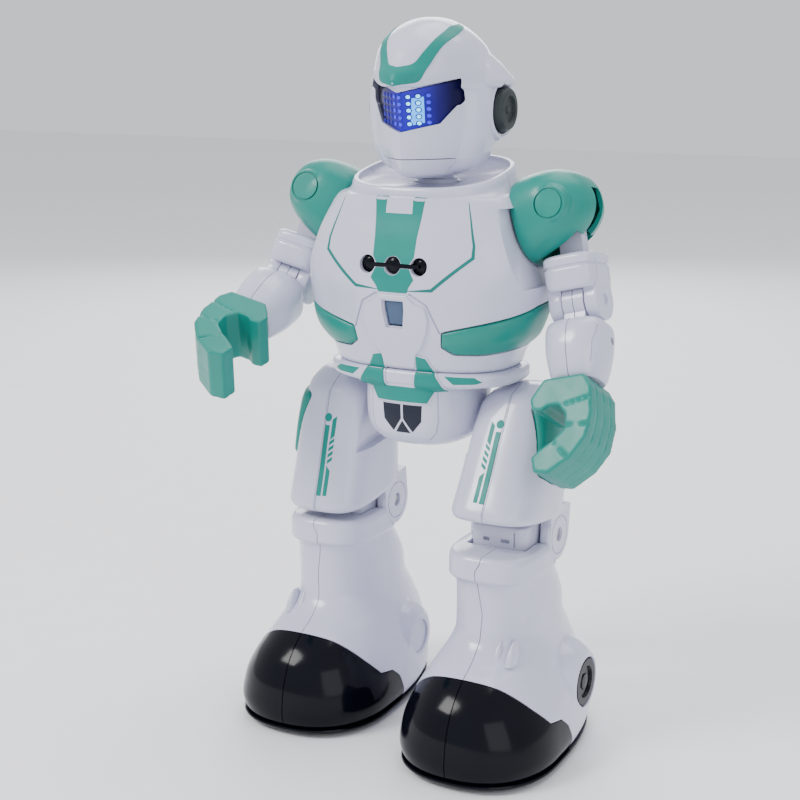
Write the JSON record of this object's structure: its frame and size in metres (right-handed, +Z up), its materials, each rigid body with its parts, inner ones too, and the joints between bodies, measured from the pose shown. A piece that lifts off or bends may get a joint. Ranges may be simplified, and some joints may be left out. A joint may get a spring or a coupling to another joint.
{
  "type": "toy robot",
  "caption": "Walking humanoid toy robot with turning head, jointed arms, striding legs with flat feet on hidden wheels, glowing visor and glossy white, teal and black shells.",
  "frame": {"origin": "middle of the robot's footprint box, on the surface it stands on", "axes": "+Z up, the robot faces -Y and its left side is at +X"},
  "size_m": [0.1536, 0.1136, 0.2656],
  "materials": {
    "white_shell": "glossy cool white moulded ABS",
    "teal_shell": "satin teal moulded ABS",
    "black_gloss": "polished blue-black ABS",
    "black_matt": "matt dark moulded plastic",
    "steel_pin": "turned steel",
    "wheel_rubber": "moulded rubber",
    "inner_grey": "plain dark grey plastic",
    "board_green": "solder mask green",
    "visor_lens": "dark blue translucent lens, lit from behind",
    "navy_window": "smoky blue-grey lens"
  },
  "bodies": {
    "torso": {"chest_shell": "white_shell", "back_shell": "white_shell", "sensor_window": "black_gloss", "receiver_window": "navy_window", "left_rib_panel": "teal_shell", "right_rib_panel": "teal_shell", "battery_door": "white_shell", "battery_pack": "inner_grey", "circuit_board": "board_green", "speaker": "inner_grey", "pelvis_front_shell": "white_shell", "pelvis_rear_shell": "white_shell", "left_hip_axle": "steel_pin", "right_hip_axle": "steel_pin"},
    "switch": {"power_switch": "black_matt"},
    "head": {"helmet_shell": "white_shell", "face_mask": "white_shell", "visor": "visor_lens", "led_board": "board_green", "left_ear_disc": "black_matt", "right_ear_disc": "black_matt", "neck_post": "white_shell"},
    "left_shoulder": {"left_shoulder_cap": "teal_shell", "left_arm_pin": "steel_pin"},
    "left_upper_arm": {"left_upper_arm": "white_shell"},
    "left_forearm": {"left_forearm_inner": "white_shell", "left_forearm_outer": "white_shell"},
    "left_hand": {"left_hand": "teal_shell"},
    "left_thigh": {"left_thigh_inner": "white_shell", "left_thigh_outer": "white_shell", "left_thigh_panel": "teal_shell", "left_knee_pin": "steel_pin"},
    "left_foot": {"left_shin_inner": "white_shell", "left_shin_outer": "white_shell", "left_toe_cap": "black_gloss", "left_sole": "black_gloss", "left_ankle_disc": "black_gloss", "left_foot_motor": "inner_grey", "left_knee_link": "white_shell"},
    "left_wheel": {"left_drive_wheel": "wheel_rubber"},
    "left_roller": {"left_roller": "wheel_rubber"},
    "right_shoulder": {"right_shoulder_cap": "teal_shell", "right_arm_pin": "steel_pin"},
    "right_upper_arm": {"right_upper_arm": "white_shell"},
    "right_forearm": {"right_forearm_inner": "white_shell", "right_forearm_outer": "white_shell"},
    "right_hand": {"right_hand": "teal_shell"},
    "right_thigh": {"right_thigh_inner": "white_shell", "right_thigh_outer": "white_shell", "right_thigh_panel": "teal_shell", "right_knee_pin": "steel_pin"},
    "right_foot": {"right_shin_inner": "white_shell", "right_shin_outer": "white_shell", "right_toe_cap": "black_gloss", "right_sole": "black_gloss", "right_ankle_disc": "black_gloss", "right_foot_motor": "inner_grey", "right_knee_link": "white_shell"},
    "right_wheel": {"right_drive_wheel": "wheel_rubber"},
    "right_roller": {"right_roller": "wheel_rubber"}
  },
  "joints": [
    {"name": "head_turn", "type": "hinge", "parent": "torso", "child": "head", "pos_m": [-0.00272, 0.01498, 0.20461], "axis": [0, 0, 1], "range_deg": [-35, 35]},
    {"name": "power_slide", "type": "slide", "parent": "torso", "child": "switch", "axis": [1, 0, 0], "range_m": [-0.0022, 0.0022]},
    {"name": "left_shoulder_swing", "type": "hinge", "parent": "torso", "child": "left_shoulder", "pos_m": [0.03378, 0.01798, 0.19262], "axis": [-0.9397, 0, -0.342], "range_deg": [-50, 100]},
    {"name": "left_arm_lift", "type": "hinge", "parent": "left_shoulder", "child": "left_upper_arm", "pos_m": [0.04829, 0.01819, 0.19909], "axis": [-0.0653, -0.9816, 0.1793], "range_deg": [-2, 76]},
    {"name": "left_elbow", "type": "hinge", "parent": "left_upper_arm", "child": "left_forearm", "pos_m": [0.05647, 0.01161, 0.16602], "axis": [-0.9696, 0.0199, -0.2437], "range_deg": [-14, 58]},
    {"name": "left_wrist_turn", "type": "hinge", "parent": "left_forearm", "child": "left_hand", "pos_m": [0.06272, -0.00386, 0.13989], "axis": [-0.2016, 0.499, 0.8428], "range_deg": [-90, 90]},
    {"name": "left_hip", "type": "hinge", "parent": "torso", "child": "left_thigh", "pos_m": [0.03448, 0.01698, 0.12362], "axis": [-1, 0, 0], "range_deg": [-18, 3]},
    {"name": "left_knee", "type": "hinge", "parent": "left_thigh", "child": "left_foot", "pos_m": [0.03448, 0.0111, 0.079], "axis": [-1, 0, 0], "range_deg": [-3, 18]},
    {"name": "left_wheel_spin", "type": "hinge", "parent": "left_foot", "child": "left_wheel", "pos_m": [0.03448, 0.0231, 0.0065], "axis": [-1, 0, 0], "continuous": true},
    {"name": "left_roller_spin", "type": "hinge", "parent": "left_foot", "child": "left_roller", "pos_m": [0.03448, -0.0289, 0.004], "axis": [-1, 0, 0], "continuous": true},
    {"name": "right_shoulder_swing", "type": "hinge", "parent": "torso", "child": "right_shoulder", "pos_m": [-0.03922, 0.01798, 0.19262], "axis": [-0.9397, 0, 0.342], "range_deg": [-55, 80]},
    {"name": "right_arm_lift", "type": "hinge", "parent": "right_shoulder", "child": "right_upper_arm", "pos_m": [-0.05373, 0.01831, 0.19907], "axis": [-0.1, 0.9563, -0.2747], "range_deg": [-2, 76]},
    {"name": "right_elbow", "type": "hinge", "parent": "right_upper_arm", "child": "right_forearm", "pos_m": [-0.06161, 0.00822, 0.16682], "axis": [-0.9687, -0.0306, 0.2462], "range_deg": [-48, 24]},
    {"name": "right_wrist_turn", "type": "hinge", "parent": "right_forearm", "child": "right_hand", "pos_m": [-0.06376, -0.02028, 0.15482], "axis": [-0.0693, -0.9195, -0.387], "range_deg": [-90, 90]},
    {"name": "right_hip", "type": "hinge", "parent": "torso", "child": "right_thigh", "pos_m": [-0.03992, 0.01698, 0.12362], "axis": [-1, 0, 0], "range_deg": [-3, 18]},
    {"name": "right_knee", "type": "hinge", "parent": "right_thigh", "child": "right_foot", "pos_m": [-0.03992, 0.02285, 0.079], "axis": [-1, 0, 0], "range_deg": [-18, 3]},
    {"name": "right_wheel_spin", "type": "hinge", "parent": "right_foot", "child": "right_wheel", "pos_m": [-0.03992, 0.03485, 0.0065], "axis": [-1, 0, 0], "continuous": true},
    {"name": "right_roller_spin", "type": "hinge", "parent": "right_foot", "child": "right_roller", "pos_m": [-0.03992, -0.01715, 0.004], "axis": [-1, 0, 0], "continuous": true}
  ],
  "couplings": [
    {"joint": "right_hip", "follows": "left_hip", "ratio": -1},
    {"joint": "left_knee", "follows": "left_hip", "ratio": -1},
    {"joint": "right_knee", "follows": "left_hip", "ratio": 1}
  ]
}
